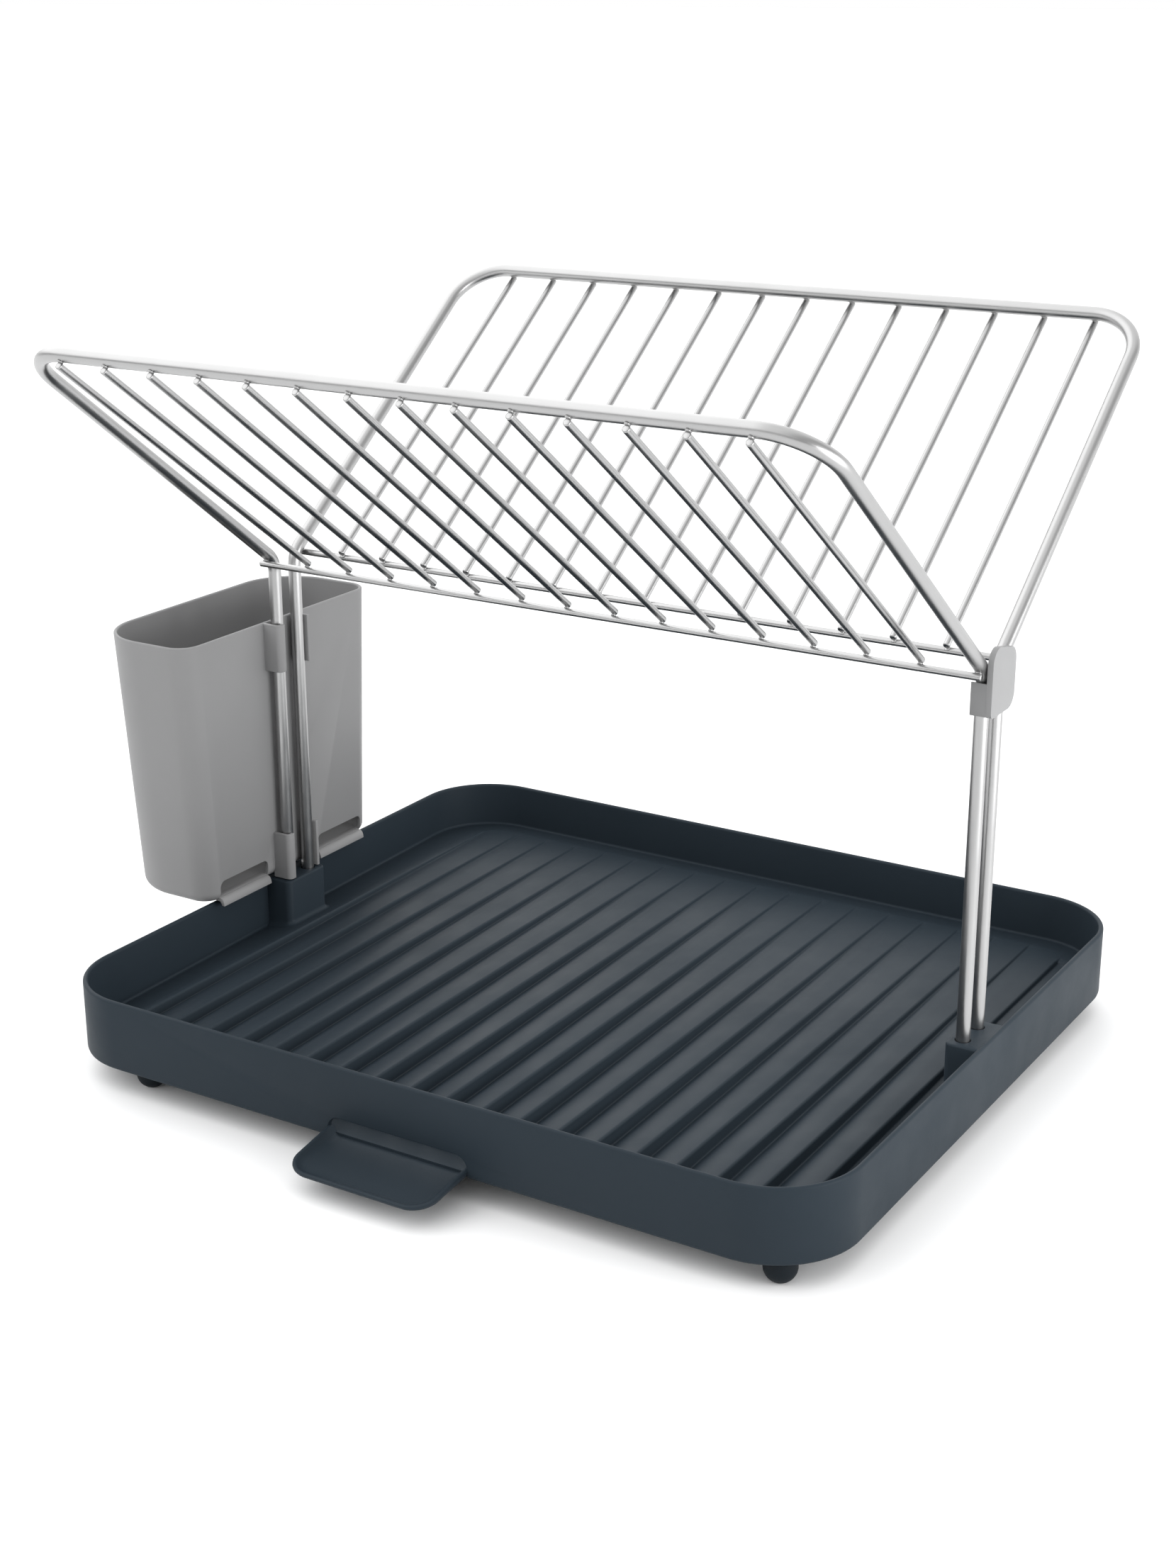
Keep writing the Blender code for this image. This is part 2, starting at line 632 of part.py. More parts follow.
def hook_outline():
    """The plan of a hook: out beside the near leg, round a corner and part-way behind it."""
    inner_x = -LEG_X + ROD_RADIUS + HOOK_GAP
    outer_x = inner_x + HOOK_SHEET
    inner_y = -LEG_Y - ROD_RADIUS - HOOK_GAP
    outer_y = inner_y - HOOK_SHEET
    points = [(HOOK_ROOT, outer_y)]
    for step in range(ARC_STEPS + 1):
        angle = math.radians(-90.0 + 90.0 * step / ARC_STEPS)
        x = outer_x - HOOK_ROUND + HOOK_ROUND * math.cos(angle)
        points.append((x, outer_y + HOOK_ROUND + HOOK_ROUND * math.sin(angle)))
    return points + [(outer_x, HOOK_END_Y), (inner_x, HOOK_END_Y), (inner_x, inner_y), (HOOK_ROOT, inner_y)]


def fin_outline():
    inner_y = LEG_Y + ROD_RADIUS + HOOK_GAP
    outer_y = inner_y + HOOK_SHEET
    return [(HOOK_ROOT, inner_y), (FIN_END_X, inner_y), (FIN_END_X, outer_y), (HOOK_ROOT, outer_y)]


def build_holder(material, parent):
    origin = (-LEG_X, 0.0, HOLDER_TOP)
    holder = add_piece(holder_shell(), "cutlery_holder", material, parent, origin)

    def join(bm, name, operation):
        bmesh.ops.translate(bm, verts=bm.verts, vec=-Vector(origin))
        helper = add_helper(bm, name, parent)
        helper.location = origin
        combine(holder, helper, operation)

    square = 0.2 * MM
    for name, side in (("near", -1.0), ("far", 1.0)):
        ends = sorted((HOLDER_MIDDLE_Y + side * SLOT_NEAR, HOLDER_MIDDLE_Y + side * SLOT_FAR))
        radii = (square, SLOT_ROUND, SLOT_ROUND, square)
        slot = rounded_box(ends[0], ends[1], HOLDER_FLOOR + square, SLOT_TOP, radii)
        join(prism(slot, 0, HOLDER_INNER - BASE_ROUND, HOOK_ROOT + BASE_ROUND), f"{name} slot", "DIFFERENCE")
        join(prism(LIP_LINE, 1, ends[0] - square, ends[1] + square), f"{name} lip", "UNION")
    for number, (low, high) in enumerate(HOOK_BANDS):
        join(prism(hook_outline(), 2, low, high), f"hook {number}", "UNION")
        join(prism(fin_outline(), 2, low, high), f"fin {number}", "UNION")


def main():
    clear_scene()
    tray_plastic = make_material("tray_plastic", (0.035, 0.041, 0.050), 0.0, 0.45)
    foot_rubber = make_material("foot_rubber", (0.02, 0.02, 0.022), 0.0, 0.8)
    frame_steel = make_material("frame_steel", (0.72, 0.72, 0.71), 1.0, 0.28)
    wire_steel = make_material("wire_steel", (0.74, 0.74, 0.73), 1.0, 0.25)
    clip_plastic = make_material("clip_plastic", (0.42, 0.43, 0.44), 0.0, 0.45)
    holder_plastic = make_material("holder_plastic", (0.30, 0.31, 0.32), 0.0, 0.45)
    base = add_empty("base", None, TRAY_MIDDLE)
    build_tray(tray_plastic, base)
    build_feet(foot_rubber, base)
    rack = add_empty("rack", base, (0.0, 0.0, 0.0))
    build_rack(frame_steel, wire_steel, rack)
    build_clip(clip_plastic, rack)
    build_holder(holder_plastic, rack)


main()
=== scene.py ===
"""Looks for the dish drying rack: every CAD node is replaced by a finer piece that rides on its body.

Lengths are in metres. Pieces are drawn about the middle of the tray, then moved to where the CAD has it."""

import math

import bmesh
import bpy
import numpy as np
from mathutils import Matrix, Vector


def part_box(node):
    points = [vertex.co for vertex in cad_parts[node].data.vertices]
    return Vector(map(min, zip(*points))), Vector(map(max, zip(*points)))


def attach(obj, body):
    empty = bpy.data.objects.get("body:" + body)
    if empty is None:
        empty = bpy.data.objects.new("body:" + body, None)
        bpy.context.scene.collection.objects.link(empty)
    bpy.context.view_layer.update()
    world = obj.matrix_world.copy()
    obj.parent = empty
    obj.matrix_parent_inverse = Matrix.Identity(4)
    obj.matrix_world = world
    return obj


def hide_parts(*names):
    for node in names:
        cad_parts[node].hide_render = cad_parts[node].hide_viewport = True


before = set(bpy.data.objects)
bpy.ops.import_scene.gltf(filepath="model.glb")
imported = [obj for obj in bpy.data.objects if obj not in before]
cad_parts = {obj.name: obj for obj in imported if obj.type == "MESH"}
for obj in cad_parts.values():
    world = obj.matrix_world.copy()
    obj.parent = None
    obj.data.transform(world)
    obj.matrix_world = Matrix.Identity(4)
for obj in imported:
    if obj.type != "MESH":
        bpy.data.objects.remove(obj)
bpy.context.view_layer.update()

MM = 0.001

# Sizes shared with the CAD
TRAY_HALF_X = 235.0 * MM
TRAY_HALF_Y = 204.5 * MM
TRAY_CORNER = 46.7 * MM
RIM_TOP = 54.5 * MM
LEG_X = 221.65 * MM
LEG_Y = 9.25 * MM
BEND_Z = 253.5 * MM
RAIL_Y = 200.0 * MM
RAIL_Z = 400.0 * MM
ROD_RADIUS = 3.75 * MM
WIRE_RADIUS = 1.9 * MM
WIRE_PITCH = 29.41 * MM
WIRES = 14
CROSS_Y = 18.0 * MM
CROSS_Z = 252.65 * MM
WIRE_TOP = (203.95 * MM, 395.45 * MM)
WIRE_FOOT = (15.0 * MM, 255.62 * MM)
HOLDER_MIDDLE_Y = 2.25 * MM

TRAY_LOW, TRAY_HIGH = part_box("tray")
MIDDLE = Vector(((TRAY_LOW.x + TRAY_HIGH.x) / 2.0, TRAY_HIGH.y - TRAY_HALF_Y, 0.0))


# ---------------------------------------------------------------- mesh helpers


def arc(centre_x, centre_y, radius, start, end, steps):
    points = []
    for step in range(steps + 1):
        angle = math.radians(start + (end - start) * step / steps)
        points.append((centre_x + radius * math.cos(angle), centre_y + radius * math.sin(angle)))
    return points


def rounded_box(x0, x1, y0, y1, radii, steps=12):
    """Counter-clockwise points of a box whose corners (x1, y0), (x1, y1), (x0, y1), (x0, y0) are rounded."""
    return (
        arc(x1 - radii[0], y0 + radii[0], radii[0], -90.0, 0.0, steps)
        + arc(x1 - radii[1], y1 - radii[1], radii[1], 0.0, 90.0, steps)
        + arc(x0 + radii[2], y1 - radii[2], radii[2], 90.0, 180.0, steps)
        + arc(x0 + radii[3], y0 + radii[3], radii[3], 180.0, 270.0, steps)
    )


def ring_at(outline, z):
    return [Vector((x, y, z)) for x, y in outline]


def loft(rings, closed=False):
    bm = bmesh.new()
    rows = [[bm.verts.new(point) for point in ring] for ring in rings]
    pairs = list(zip(rows[:-1], rows[1:]))
    if closed:
        pairs.append((rows[-1], rows[0]))
    else:
        bm.faces.new(rows[0])
        bm.faces.new(rows[-1])
    count = len(rows[0])
    for low, high in pairs:
        for i in range(count):
            j = (i + 1) % count
            bm.faces.new((low[i], low[j], high[j], high[i]))
    bmesh.ops.recalc_face_normals(bm, faces=bm.faces)
    return bm


def prism(outline, axis, low, high):
    rings = []
    for level in (low, high):
        ring = []
        for first, second in outline:
            place_at = [first, second]
            place_at.insert(axis, level)
            ring.append(Vector(place_at))
        rings.append(ring)
    return loft(rings)


def bare_object(bm, name):
    mesh = bpy.data.meshes.new(name)
    bm.to_mesh(mesh)
    bm.free()
    made = bpy.data.objects.new(name, mesh)
    bpy.context.scene.collection.objects.link(made)
    return made


def shaped(target, cutters=(), unions=(), bevel=0.0, segments=2, angle=50.0):
    """Cuts, joins and bevels the target, and leaves the result as its plain mesh."""
    for operation, others in (("UNION", unions), ("DIFFERENCE", cutters)):
        for number, other in enumerate(others):
            helper = bare_object(other, f"{target.name} {operation} {number}")
            modifier = target.modifiers.new("shape", "BOOLEAN")
            modifier.operation = operation
            modifier.solver = "EXACT"
            modifier.object = helper
    if bevel:
        modifier = target.modifiers.new("bevel", "BEVEL")
        modifier.width = bevel
        modifier.segments = segments
        modifier.limit_method = "ANGLE"
        modifier.angle_limit = math.radians(angle)
        modifier.use_clamp_overlap = True
    graph = bpy.context.evaluated_depsgraph_get()
    mesh = bpy.data.meshes.new_from_object(target.evaluated_get(graph))
    helpers = [m.object for m in target.modifiers if m.type == "BOOLEAN"]
    target.modifiers.clear()
    target.data = mesh
    for helper in helpers:
        bpy.data.objects.remove(helper, do_unlink=True)
    return target


def piece(made, body, material, nodes=(), sharp=40.0):
    """Moves a finished object to the tray's place and hands it to its body."""
    made.data.materials.clear()
    made.data.materials.append(material)
    made.data.shade_smooth()
    made.data.set_sharp_from_angle(angle=math.radians(sharp))
    made.location = MIDDLE
    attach(made, body)
    if nodes:
        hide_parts(*nodes)
    return made


def tube(path, radii, sides):
    """A round rod through a path. Each point keeps (length along, across, across) for the steel's grain."""
    spans = [(b - a).normalized() for a, b in zip(path[:-1], path[1:])]
    across = spans[0].orthogonal()
    rings = []
    grain = []
    run = 0.0
    for i, (point, radius) in enumerate(zip(path, radii)):
        if i:
            run += (point - path[i - 1]).length
        along = (spans[max(i - 1, 0)] + spans[min(i, len(spans) - 1)]).normalized()
        across = (across - along * across.dot(along)).normalized()
        other = along.cross(across)
        ring = []
        for u, v in arc(0.0, 0.0, radius, 0.0, 360.0, sides)[:-1]:
            ring.append(point + across * u + other * v)
            grain.append((run, u, v))
        rings.append(ring)
    bm = loft(rings)
    layer = bm.verts.layers.float_vector.new("grain")
    bm.verts.ensure_lookup_table()
    for vert, value in zip(bm.verts, grain):
        vert[layer] = value
    return bm


def filleted(corners, radii, steps):
    path = [corners[0]]
    for before, corner, after, radius in zip(corners[:-2], corners[1:-1], corners[2:], radii):
        back = (before - corner).normalized()
        ahead = (after - corner).normalized()
        half = back.angle(ahead) / 2.0
        centre = corner + (back + ahead).normalized() * (radius / math.sin(half))
        start = corner + back * (radius / math.tan(half)) - centre
        axis = ahead.cross(back).normalized()
        for step in range(steps + 1):
            turn = (math.pi - 2.0 * half) * step / steps
            path.append(centre + start * math.cos(turn) + axis.cross(start) * math.sin(turn))
    path.append(corners[-1])
    return path


def subdivided(path, longest):
    """The same path with its long straights cut into shorter steps."""
    fine = [path[0]]
    for a, b in zip(path[:-1], path[1:]):
        cuts = max(1, math.ceil((b - a).length / longest))
        fine += [a.lerp(b, cut / cuts) for cut in range(1, cuts + 1)]
    return fine


# ---------------------------------------------------------------- materials


class Nodes:
    """A short way to write one material's node tree."""

    def __init__(self, name):
        self.material = bpy.data.materials.new(name)
        self.material.use_nodes = True
        self.tree = self.material.node_tree
        self.shader = self.tree.nodes["Principled BSDF"]

    def add(self, kind, values=None, **settings):
        node = self.tree.nodes.new(kind)
        for key, value in settings.items():
            setattr(node, key, value)
        for key, value in (values or {}).items():
            node.inputs[key].default_value = value
        return node

    def link(self, start, end):
        self.tree.links.new(start, end)

    def noise(self, vector, scale, detail=3.0, rough=0.5):
        node = self.add("ShaderNodeTexNoise", {"Scale": scale, "Detail": detail, "Roughness": rough})
        self.link(vector, node.inputs["Vector"])
        return node.outputs["Fac"]

    def ramp(self, value, low, high, to_low=0.0, to_high=1.0):
        spans = {"From Min": low, "From Max": high, "To Min": to_low, "To Max": to_high}
        node = self.add("ShaderNodeMapRange", spans)
        self.link(value, node.inputs["Value"])
        return node.outputs["Result"]

    def colours(self, factor, first, second):
        node = self.add("ShaderNodeMix", data_type="RGBA")
        sockets = [s for s in node.inputs if s.type == "RGBA"]
        sockets[0].default_value = (*first, 1.0)
        sockets[1].default_value = (*second, 1.0)
        self.link(factor, node.inputs["Factor"])
        return [s for s in node.outputs if s.type == "RGBA"][0]

    def maths(self, operation, first, second):
        node = self.add("ShaderNodeMath", operation=operation)
        for number, value in enumerate((first, second)):
            if isinstance(value, float):
                node.inputs[number].default_value = value
            else:
                self.link(value, node.inputs[number])
        return node.outputs["Value"]

    def bump(self, height, strength, distance):
        node = self.add("ShaderNodeBump", {"Strength": strength, "Distance": distance})
        self.link(height, node.inputs["Height"])
        self.link(node.outputs["Normal"], self.shader.inputs["Normal"])


def plastic(name, colour, darker, roughness, grain, shine):
    """Moulded plastic: spark-eroded grain, a faint mottling of the pigment and handled, shinier patches."""
    m = Nodes(name)
    place = m.add("ShaderNodeTexCoord").outputs["Object"]
    pigment = m.noise(place, 9.0, 4.0, 0.55)
    m.link(m.colours(m.ramp(pigment, 0.3, 0.7), darker, colour), m.shader.inputs["Base Color"])
    handled = m.noise(place, 22.0, 5.0, 0.6)
    fine = m.noise(place, 2600.0, 2.0, 0.5)
    patches = m.ramp(handled, 0.35, 0.7, roughness - 0.05, roughness + 0.06)
    speckle = m.ramp(fine, 0.3, 0.7, -0.03, 0.03)
    m.link(m.maths("ADD", patches, speckle), m.shader.inputs["Roughness"])
    m.bump(fine, grain, 0.00006)
    m.shader.inputs["Specular IOR Level"].default_value = shine
    return m.material


def steel(name, colour, roughness):
    """Drawn and polished stainless rod: faint lines along the rod, broken by hazier patches."""
    m = Nodes(name)
    source = m.add("ShaderNodeAttribute", attribute_name="grain")
    stretched = m.add("ShaderNodeMapping", {"Scale": (6.0, 1500.0, 1500.0)})
    m.link(source.outputs["Vector"], stretched.inputs["Vector"])
    lines = m.noise(stretched.outputs["Vector"], 1.0, 4.0, 0.6)
    place = m.add("ShaderNodeTexCoord").outputs["Object"]
    haze = m.noise(place, 30.0, 4.0, 0.6)
    darker = tuple(c * 0.95 for c in colour)
    m.link(m.colours(m.ramp(lines, 0.3, 0.7), darker, colour), m.shader.inputs["Base Color"])
    drawn = m.ramp(lines, 0.3, 0.7, roughness - 0.02, roughness + 0.03)
    hazy = m.ramp(haze, 0.4, 0.7, -0.02, 0.05)
    m.link(m.maths("ADD", drawn, hazy), m.shader.inputs["Roughness"])
    m.shader.inputs["Metallic"].default_value = 1.0
    m.bump(lines, 0.05, 0.00003)
    return m.material


TRAY_PLASTIC = plastic(
    "tray_plastic_grained", (0.021, 0.030, 0.039), (0.019, 0.027, 0.035), 0.50, 0.35, 0.10
)
HOLDER_PLASTIC = plastic(
    "holder_plastic_grained", (0.240, 0.240, 0.242), (0.228, 0.228, 0.23), 0.50, 0.35, 0.2
)
CLIP_PLASTIC = plastic(
    "clip_plastic_grained", (0.225, 0.226, 0.228), (0.213, 0.214, 0.216), 0.48, 0.35, 0.25
)
FOOT_RUBBER = plastic(
    "foot_rubber_grained", (0.008, 0.012, 0.016), (0.006, 0.009, 0.012), 0.55, 0.5, 0.12
)
FRAME_STEEL = steel("frame_steel_drawn", (0.41, 0.41, 0.41), 0.31)
WIRE_STEEL = steel("wire_steel_drawn", (0.41, 0.41, 0.41), 0.28)


# ---------------------------------------------------------------- drip tray, in mm until it is meshed

HALF_X = 232.0
HALF_Y = 201.5
INNER_CORNER = 43.7
RIBS = 19
RIB_PITCH = 22.81
FIRST_EDGE = -204.5
CREST = 27.7
STEEP = 0.9
CREST_ROUND = 1.5
GROOVE_ROUND = 0.8
MOST_ROUNDED = 0.45
RIB_BACK = 180.0
END_RIB_BACK = 171.0
RIB_FADE = 7.0
RIB_FRONT = 185.0
GROOVE_START = 0.8
LAST_GROOVE_START = 2.2
LAST_GROOVE_FADE = 1.6
FALL_MIDDLE = 0.024
FALL_SIDE = 0.0172
LEAST_DEPTH = 0.004
RAMP_LEAST = 6.5
RAMP_GROWTH = 1.85
RAMP_MOST = 20.2
RAMP_POWER = 1.7
FOOT_DROP = 4.4
FOOT_FALL = 0.0138
SIDE_STRIP = 25.3
BACK_STRIP = 14.5
GUTTER_TOP = 17.2
GUTTER_FALL = 1.0
GUTTER_START = 190.5
FLOOR_SHEET = 2.4
SHEET_SHIFT = 1.8
PAST_WALL = 240.0
COVE = 1.5
FLARE = 3.0


def step_between(value, low, high):
    """0 below low, 1 above high, and a smooth step between them."""
    share = np.clip((value - low) / (high - low), 0.0, 1.0)
    return share * share * (3.0 - 2.0 * share)


def groove_depth(edge, y):
    """How far the bottom of the groove at this crest lies below it."""
    outer = abs(FIRST_EDGE) - RIB_PITCH / 2.0
    start = RIB_BACK if abs(edge) < outer else END_RIB_BACK
    fall = FALL_MIDDLE + (FALL_SIDE - FALL_MIDDLE) * min(abs(edge / FIRST_EDGE), 1.0)
    held = 1.0 - step_between(y, start, start + RIB_FADE)
    depth = GROOVE_START * held + fall * max(0.0, start - y)
    if edge > outer:
        blunt = 1.0 - step_between(y, start, start + LAST_GROOVE_FADE)
        depth = max(depth, LAST_GROOVE_START * blunt)
    return max(depth, LEAST_DEPTH)


def surface(x, y, below):
    """The floor's height, from how far it lies below the crests there."""
    over_x = np.maximum(np.abs(x) - HALF_X + INNER_CORNER, 0.0)
    over_y = np.maximum(y - HALF_Y + INNER_CORNER, 0.0)
    reach = np.hypot(over_x, over_y)
    sideways = (over_x / np.maximum(reach, 1e-6)) ** 2
    corner = (INNER_CORNER - reach) / (BACK_STRIP + (SIDE_STRIP - BACK_STRIP) * sideways)
    straight = np.minimum((HALF_X - np.abs(x)) / SIDE_STRIP, (HALF_Y - y) / BACK_STRIP)
    share = np.clip(np.where((over_x > 0.0) & (over_y > 0.0), corner, straight), 0.0, 1.0)
    foot = CREST - FOOT_DROP + FOOT_FALL * np.maximum(y, -RIB_FRONT)
    panels = foot + (CREST - below - foot) * share
    gutter = GUTTER_TOP - GUTTER_FALL * step_between(-y, GUTTER_START, HALF_Y)
    front = step_between(-y, RIB_FRONT, GUTTER_START)
    return panels * (1.0 - front) + gutter * front


def strip_height(x, y):
    """The floor's height beside the ribs: to the crests on the left, and to the last groove on the right."""
    below = groove_depth(FIRST_EDGE, y) if x > 0.0 else 0.0
    return float(surface(x, y, below))


def rib_line(y):
    """The floor across the tray at one y, as (x, depth below the crests). Crests roll over steep faces."""
    line = [(-PAST_WALL, 0.0)]
    line += [(-HALF_X + run, 0.0) for run in (0.0, 1.5, 4.0, 8.0, 13.0, 18.0, 22.0)]
    for rib in range(RIBS):
        edge = FIRST_EDGE + rib * RIB_PITCH
        depth = groove_depth(edge, y)
        ramp = min(RAMP_LEAST + RAMP_GROWTH * depth, RAMP_MOST)
        last = rib == RIBS - 1
        tilt = math.atan2(depth, STEEP)
        rise = 0.0 if last else math.atan(RAMP_POWER * depth / ramp)
        most = MOST_ROUNDED * math.hypot(depth, STEEP)
        reach = min(CREST_ROUND * math.tan(tilt / 2.0), most)
        radius = reach / math.tan(tilt / 2.0)
        for turn in np.linspace(0.0, tilt, 7):
            line.append((edge - reach + radius * math.sin(turn), radius * (1.0 - math.cos(turn))))
        turned = tilt + rise
        reach = min(GROOVE_ROUND * math.tan(turned / 2.0), most)
        radius = reach / math.tan(turned / 2.0)
        centre_x = edge + STEEP - reach * math.cos(tilt) + radius * math.sin(tilt)
        centre_z = depth - reach * math.sin(tilt) - radius * math.cos(tilt)
        for turn in np.linspace(tilt, -rise, 7):
            line.append((centre_x - radius * math.sin(turn), centre_z + radius * math.cos(turn)))
        if last:
            continue
        begun = reach * math.cos(rise) / ramp
        for share in (0.1, 0.22, 0.36, 0.5, 0.64, 0.78, 0.9, 1.0):
            run = begun + (1.0 - begun) * share
            line.append((edge + STEEP + ramp * run, depth * (1.0 - run) ** RAMP_POWER))
    line += [(HALF_X - run, depth) for run in (20.0, 15.0, 10.0, 6.0, 3.0, 1.5, 0.0)]
    line.append((PAST_WALL, depth))
    return line


def floor_rows():
    """Where the floor's cross lines lie: closer in the corners, where the ribs fade and above the gutter."""
    reach = HALF_Y + 1.0
    straight = HALF_Y - INNER_CORNER
    turns = np.linspace(0.0, math.pi / 2.0, 34)
    corner = [reach - (reach - straight) * (1.0 - math.cos(turn)) for turn in turns]
    fading = (0.0, 0.5, 1.0, 1.7, 3.5, 5.6, 7.0, 9.0, 10.4, 12.5, 14.6, 16.0)
    rows = corner + [-row for row in corner]
    rows += [(END_RIB_BACK + run) + 0.1 for run in fading]
    rows += [140.0 - 20.0 * number for number in range(15)]
    rows += [-RIB_FRONT - 5.5 * share for share in (0.0, 0.2, 0.4, 0.6, 0.8, 1.0)]
    return sorted(set(rows))


def floor_mesh():
    """A closed sheet over the whole floor, ending inside the wall. Its underside is shifted along x."""
    straight = HALF_Y - INNER_CORNER
    rows = floor_rows()
    upper = []
    lower = []
    for y in rows:
        line = np.array(rib_line(y))
        over = max(0.0, abs(y) - straight)
        limit = HALF_X - INNER_CORNER + math.sqrt(max(0.0, (INNER_CORNER + 1.0) ** 2 - over**2))
        x = np.clip(line[:, 0], -limit, limit)
        z = surface(x, np.full_like(x, y), np.interp(x, line[:, 0], line[:, 1]))
        upper.append(np.stack([x, np.full_like(x, y), z], -1))
        under = np.clip(x - SHEET_SHIFT, -limit, limit)
        under[-2:] = x[-2:]
        lower.append(np.stack([under, np.full_like(x, y), z - FLOOR_SHEET], -1))
    columns = len(upper[0])
    points = np.concatenate(upper + lower) * MM
    count = len(points) // 2
    faces = []
    for r in range(len(rows) - 1):
        for c in range(columns - 1):
            a = r * columns + c
            quad = (a, a + 1, a + columns + 1, a + columns)
            faces.append(quad)
            faces.append(tuple(count + i for i in reversed(quad)))
    border = list(range(columns))
    border += [r * columns + columns - 1 for r in range(1, len(rows))]
    border += [(len(rows) - 1) * columns + c for c in range(columns - 2, -1, -1)]
    border += [r * columns for r in range(len(rows) - 2, 0, -1)]
    for a, b in zip(border, border[1:] + border[:1]):
        faces.append((b, a, count + a, count + b))
    mesh = bpy.data.meshes.new("tray_floor")
    mesh.from_pydata([tuple(p) for p in points], [], faces)
    bm = bmesh.new()
    bm.from_mesh(mesh)
    bpy.data.meshes.remove(mesh)
    bmesh.ops.remove_doubles(bm, verts=bm.verts, dist=0.002 * MM)
    bmesh.ops.dissolve_degenerate(bm, edges=bm.edges, dist=0.001 * MM)
    bmesh.ops.recalc_face_normals(bm, faces=bm.faces)
    return bm


def tray_outline(inset):
    half_x = TRAY_HALF_X - inset
    half_y = TRAY_HALF_Y - inset
    return rounded_box(-half_x, half_x, -half_y, half_y, (TRAY_CORNER - inset,) * 4, 24)


def tray_wall():
    """The wall with its rounded rim."""
    levels = [(3.0, 13.5), (1.2, 13.7), (0.35, 14.3), (0.0, 15.4), (0.0, 53.0)]
    for degrees in (157.5, 135.0, 112.5, 90.0, 67.5, 45.0, 22.5):
        angle = math.radians(degrees)
        levels.append((1.5 + 1.5 * math.cos(angle), 53.0 + 1.5 * math.sin(angle)))
    levels.append((3.0, 53.0))
    rings = [ring_at(tray_outline(inset * MM), z * MM) for inset, z in levels]
    wall = bare_object(loft(rings, closed=True), "tray_wall")
    square = 0.3 * MM
    half = 43.0 * MM
    opening = rounded_box(-half, half, 9.0 * MM, 25.3 * MM, (square, 7.0 * MM, 7.0 * MM, square), 10)
    passage = prism(opening, 1, -TRAY_HALF_Y - 3.0 * MM, -186.0 * MM)
    return shaped(wall, cutters=[passage], bevel=0.5 * MM, segments=3, angle=60.0)


def tray_cove():
    """The small hollow curve where the floor meets the wall. It stays open at the spout."""
    outline = np.array(tray_outline(3.0 * MM)) / MM
    line = []
    for start, end in zip(outline, np.roll(outline, -1, axis=0)):
        steps = max(1, math.ceil(float(np.hypot(*(end - start))) / 12.0))
        line += [start + (end - start) * step / steps for step in range(steps)]
    line = np.array(line)
    over = np.abs(line) - np.array((HALF_X - INNER_CORNER, HALF_Y - INNER_CORNER))
    over = np.maximum(over, 0.0)
    inward = -np.sign(line) * over / np.hypot(over[:, 0], over[:, 1])[:, None]
    section = [(-0.7, COVE), (0.0, COVE)]
    for turn in (22.5, 45.0, 67.5, 90.0):
        angle = math.radians(turn)
        section.append((COVE - COVE * math.cos(angle), COVE - COVE * math.sin(angle)))
    section += [(COVE, -0.6), (-0.7, -0.6)]
    rings = []
    for run, lift in section:
        ring = []
        for (x, y), (across, along) in zip(line, inward):
            beside = (x + across * max(run, 0.0), y + along * max(run, 0.0))
            z = strip_height(*beside) + lift
            ring.append(Vector((x + across * run, y + along * run, z)) * MM)
        rings.append(ring)
    cove = bare_object(loft(rings, closed=True), "tray_cove")
    wide = 43.5 * MM
    gap = [(-wide, 0.0), (wide, 0.0), (wide, RIM_TOP), (-wide, RIM_TOP)]
    return shaped(cove, cutters=[prism(gap, 1, -TRAY_HALF_Y - 3.0 * MM, -186.0 * MM)])


def tray_socket(side, name):
    """A block for two legs. It flares onto the strip, and its top and the mouths of its holes are eased."""
    levels = [(-FLARE, 16.5, 0.0), (-FLARE, 0.0, -1.5)]
    for turn in np.radians((0, 22.5, 45, 67.5, 90)):
        levels.append((-FLARE + FLARE * math.sin(turn), 0.0, FLARE - FLARE * math.cos(turn)))
    levels += [(0.0, 53.2, 0.0), (0.25, 53.8, 0.0), (0.65, 54.15, 0.0), (1.2, 54.3, 0.0)]
    rings = []
    for inset, level, lift in levels:
        radii = (0.2 * MM, 0.2 * MM, (4.0 - inset) * MM, (4.0 - inset) * MM)
        half = (18.0 - inset) * MM
        ring = []
        for x, y in rounded_box((214.5 + inset) * MM, 233.5 * MM, -half, half, radii, 8):
            z = level if level else strip_height(side * x / MM, y / MM) + lift
            ring.append(Vector((side * x, y, z * MM)))
        rings.append(ring)
    block = bare_object(loft(rings), name)
    shape = ((4.1, 20.5), (4.1, 54.0), (4.4, 54.35), (4.4, 60.0))
    return shaped(block, cutters=[leg_hole(side, leg_y, shape) for leg_y in (-LEG_Y, LEG_Y)])


def leg_hole(side, leg_y, shape):
    """A round cutter on one leg's axis, from its radii and heights."""
    rings = []
    for radius, z in shape:
        rings.append(ring_at(arc(side * LEG_X, leg_y, radius * MM, 0.0, 360.0, 48)[:-1], z * MM))
    return loft(rings)


def tray_floor():
    """The floor sheet, open below the holes of the sockets."""
    sheet = bare_object(floor_mesh(), "tray_floor")
    shape = ((6.0, 10.0), (6.0, 40.0))
    places = [(side, leg_y) for side in (-1.0, 1.0) for leg_y in (-LEG_Y, LEG_Y)]
    return shaped(sheet, cutters=[leg_hole(side, leg_y, shape) for side, leg_y in places])


